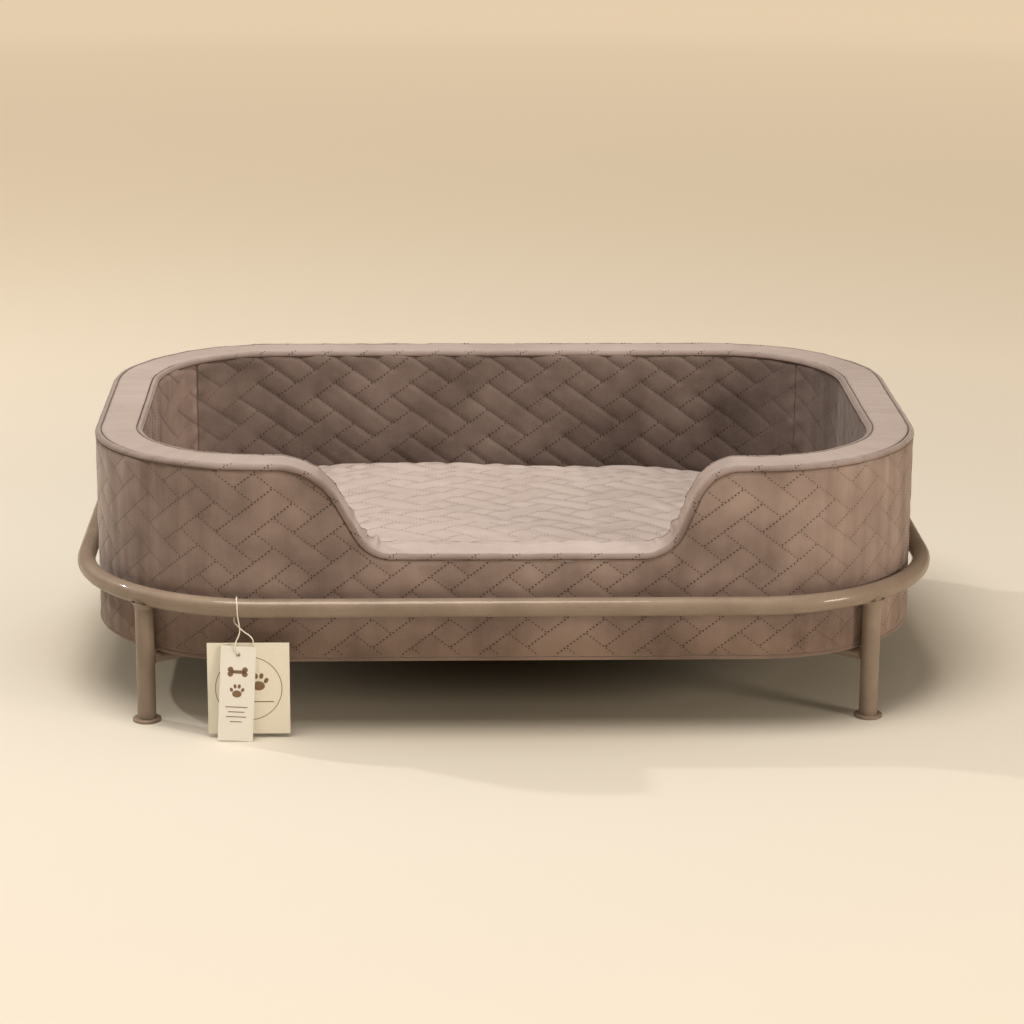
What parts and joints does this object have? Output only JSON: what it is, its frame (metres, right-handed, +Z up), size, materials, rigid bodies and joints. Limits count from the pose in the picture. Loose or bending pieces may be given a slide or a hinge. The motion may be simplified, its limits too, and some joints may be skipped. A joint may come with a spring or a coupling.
{
  "type": "dog bed with frame",
  "caption": "Raised dog bed: a quilted velvet basket with a low front entrance and a loose mattress, held in a welded tube frame on short legs.",
  "frame": {"origin": "on the floor, under the middle of the bed", "axes": "+X along the bed's length to the right of a viewer who faces the entrance, +Y from the entrance towards the high back wall, +Z up"},
  "size_m": [0.9, 0.6132, 0.2745],
  "materials": {
    "frame_metal": "satin warm grey-brown powder coat with a fine metallic sheen",
    "velvet": "quilted mushroom-grey velvet with darker stitching",
    "mattress_velvet": "quilted mushroom-grey velvet, softly puffed",
    "plain_cloth": "plain woven polyester",
    "foam": "open-cell foam",
    "board": "thin raw fibreboard",
    "card": "matt cream card with brown print",
    "string": "thin waxed cream cotton"
  },
  "bodies": {
    "frame": {"ring_tube": "frame_metal", "leg_front_left": "frame_metal", "leg_front_right": "frame_metal", "leg_back_left": "frame_metal", "leg_back_right": "frame_metal", "foot_front_left": "frame_metal", "foot_front_right": "frame_metal", "foot_back_left": "frame_metal", "foot_back_right": "frame_metal", "brace_long": "frame_metal", "brace_half_front": "frame_metal", "brace_half_back": "frame_metal", "weld_beads": "frame_metal"},
    "basket": {"underside_cloth": "plain_cloth", "base_board": "board", "floor_lining": "plain_cloth", "wall_foam": "foam", "top_cover": "velvet", "outer_cover": "velvet", "inner_cover_back": "velvet", "inner_cover_left": "velvet", "inner_cover_right": "velvet", "outer_piping": "velvet", "inner_piping": "velvet", "bottom_piping": "velvet"},
    "mattress": {"mattress_filling": "foam", "mattress_cover": "mattress_velvet", "mattress_underside": "plain_cloth"},
    "tags": {"tag_card_large": "card", "tag_card_small": "card", "tag_string": "string"}
  },
  "joints": [
    {"name": "basket_lift", "type": "slide", "parent": "frame", "child": "basket", "axis": [0, 0, 1], "range_m": [0, 0.2]},
    {"name": "mattress_lift", "type": "slide", "parent": "basket", "child": "mattress", "axis": [0, 0, 1], "range_m": [0, 0.25]},
    {"name": "tag_swing", "type": "hinge", "parent": "frame", "child": "tags", "pos_m": [-0.272, -0.2886, 0.1325], "axis": [-0.9901, 0.14, 0], "range_deg": [0, 75]}
  ]
}
